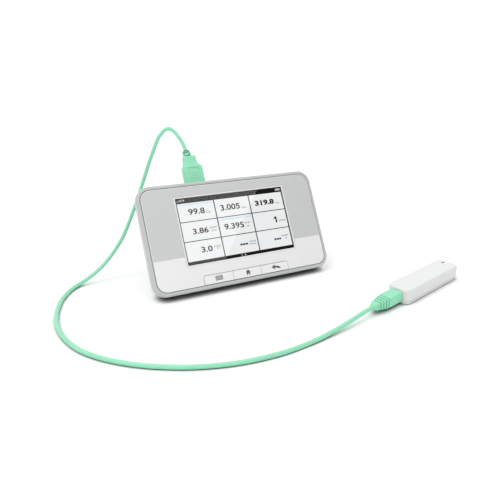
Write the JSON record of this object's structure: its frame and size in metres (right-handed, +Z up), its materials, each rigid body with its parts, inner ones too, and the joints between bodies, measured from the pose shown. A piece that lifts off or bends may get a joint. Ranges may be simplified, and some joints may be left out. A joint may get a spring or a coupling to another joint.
{
  "type": "water quality reader with a cabled probe",
  "caption": "Tablet-shaped water quality reader leaning back on a fold-out stand, joined by a thin cord with a plug on each end to a small white probe stick lying beside it.",
  "frame": {"origin": "centre of the foot strip's underside, on the surface that the reader stands on", "axes": "+X to the right across the reader's face, +Y from the face to the back along the surface, +Z up"},
  "size_m": [0.3134, 0.1814, 0.1205],
  "materials": {
    "housing_plastic": "fine matte texture",
    "frame_plastic": "satin silver-white",
    "panel_plastic": "smooth white",
    "overlay_film": "smooth light grey print",
    "screen_glass": "clear gloss",
    "display_panel": "lit display face",
    "bright_steel": "plated",
    "black_rubber": "matte",
    "circuit_board": "solder mask",
    "insert_plastic": "moulded",
    "battery_wrap": "film wrap",
    "black_plastic": "moulded",
    "key_plastic": "smooth white",
    "green_grip": "soft mint moulding",
    "dark_green_rubber": "matte",
    "green_cord": "smooth jacket",
    "probe_plastic": "fine matte white"
  },
  "bodies": {
    "reader": {"rear_housing": "housing_plastic", "front_frame": "frame_plastic", "front_panel": "panel_plastic", "grey_overlay": "overlay_film", "window_trim": "panel_plastic", "touch_glass": "screen_glass", "lcd_module": "display_panel", "lcd_gasket": "black_rubber", "lcd_bracket": "bright_steel", "lcd_screws": "bright_steel", "main_board": "circuit_board", "board_screws": "bright_steel", "shield_can": "bright_steel", "usb_socket": "bright_steel", "usb_socket_tongue": "insert_plastic", "charge_socket": "bright_steel", "key_board": "circuit_board", "key_switches": "bright_steel", "battery_pack": "battery_wrap", "buzzer": "black_plastic", "housing_seal": "black_rubber", "housing_screws": "bright_steel", "base_pad": "black_rubber", "hinge_pin": "bright_steel"},
    "stand": {"stand_leg": "housing_plastic", "stand_foot": "black_rubber"},
    "menu_button": {"menu_key": "key_plastic", "menu_plunger": "black_plastic"},
    "home_button": {"home_key": "key_plastic", "home_plunger": "black_plastic"},
    "back_button": {"back_key": "key_plastic", "back_plunger": "black_plastic"},
    "cable": {"usb_plug_body": "green_grip", "usb_plug_neck": "dark_green_rubber", "usb_plug_shell": "bright_steel", "usb_plug_insert": "insert_plastic", "cord": "green_cord", "probe_plug_body": "green_grip", "probe_plug_boot": "green_grip", "probe_plug_shell": "bright_steel"},
    "probe": {"probe_upper_shell": "probe_plastic", "probe_lower_shell": "probe_plastic", "probe_light_guide": "black_plastic", "probe_board": "circuit_board", "probe_socket": "bright_steel", "sensor_cell": "black_plastic", "sensor_window": "screen_glass", "window_seal": "black_rubber"}
  },
  "joints": [
    {"name": "stand_hinge", "type": "hinge", "parent": "reader", "child": "stand", "pos_m": [0, 0.03428, 0.05192], "axis": [-1, 0, 0], "range_deg": [0, 49]},
    {"name": "menu_press", "type": "slide", "parent": "reader", "child": "menu_button", "axis": [0, 0.8746, -0.4848], "range_m": [0, 0.0005], "stiffness_N_per_m": 600, "springref_m": -0.001},
    {"name": "home_press", "type": "slide", "parent": "reader", "child": "home_button", "axis": [0, 0.8746, -0.4848], "range_m": [0, 0.0005], "stiffness_N_per_m": 600, "springref_m": -0.001},
    {"name": "back_press", "type": "slide", "parent": "reader", "child": "back_button", "axis": [0, 0.8746, -0.4848], "range_m": [0, 0.0005], "stiffness_N_per_m": 600, "springref_m": -0.001},
    {"name": "reader_plug_pull", "type": "slide", "parent": "reader", "child": "cable", "axis": [0, 0.4848, 0.8746], "range_m": [0, 0.012]},
    {"name": "probe_pull", "type": "slide", "parent": "cable", "child": "probe", "axis": [0.9613, 0.2756, 0], "range_m": [0, 0.0075]}
  ]
}
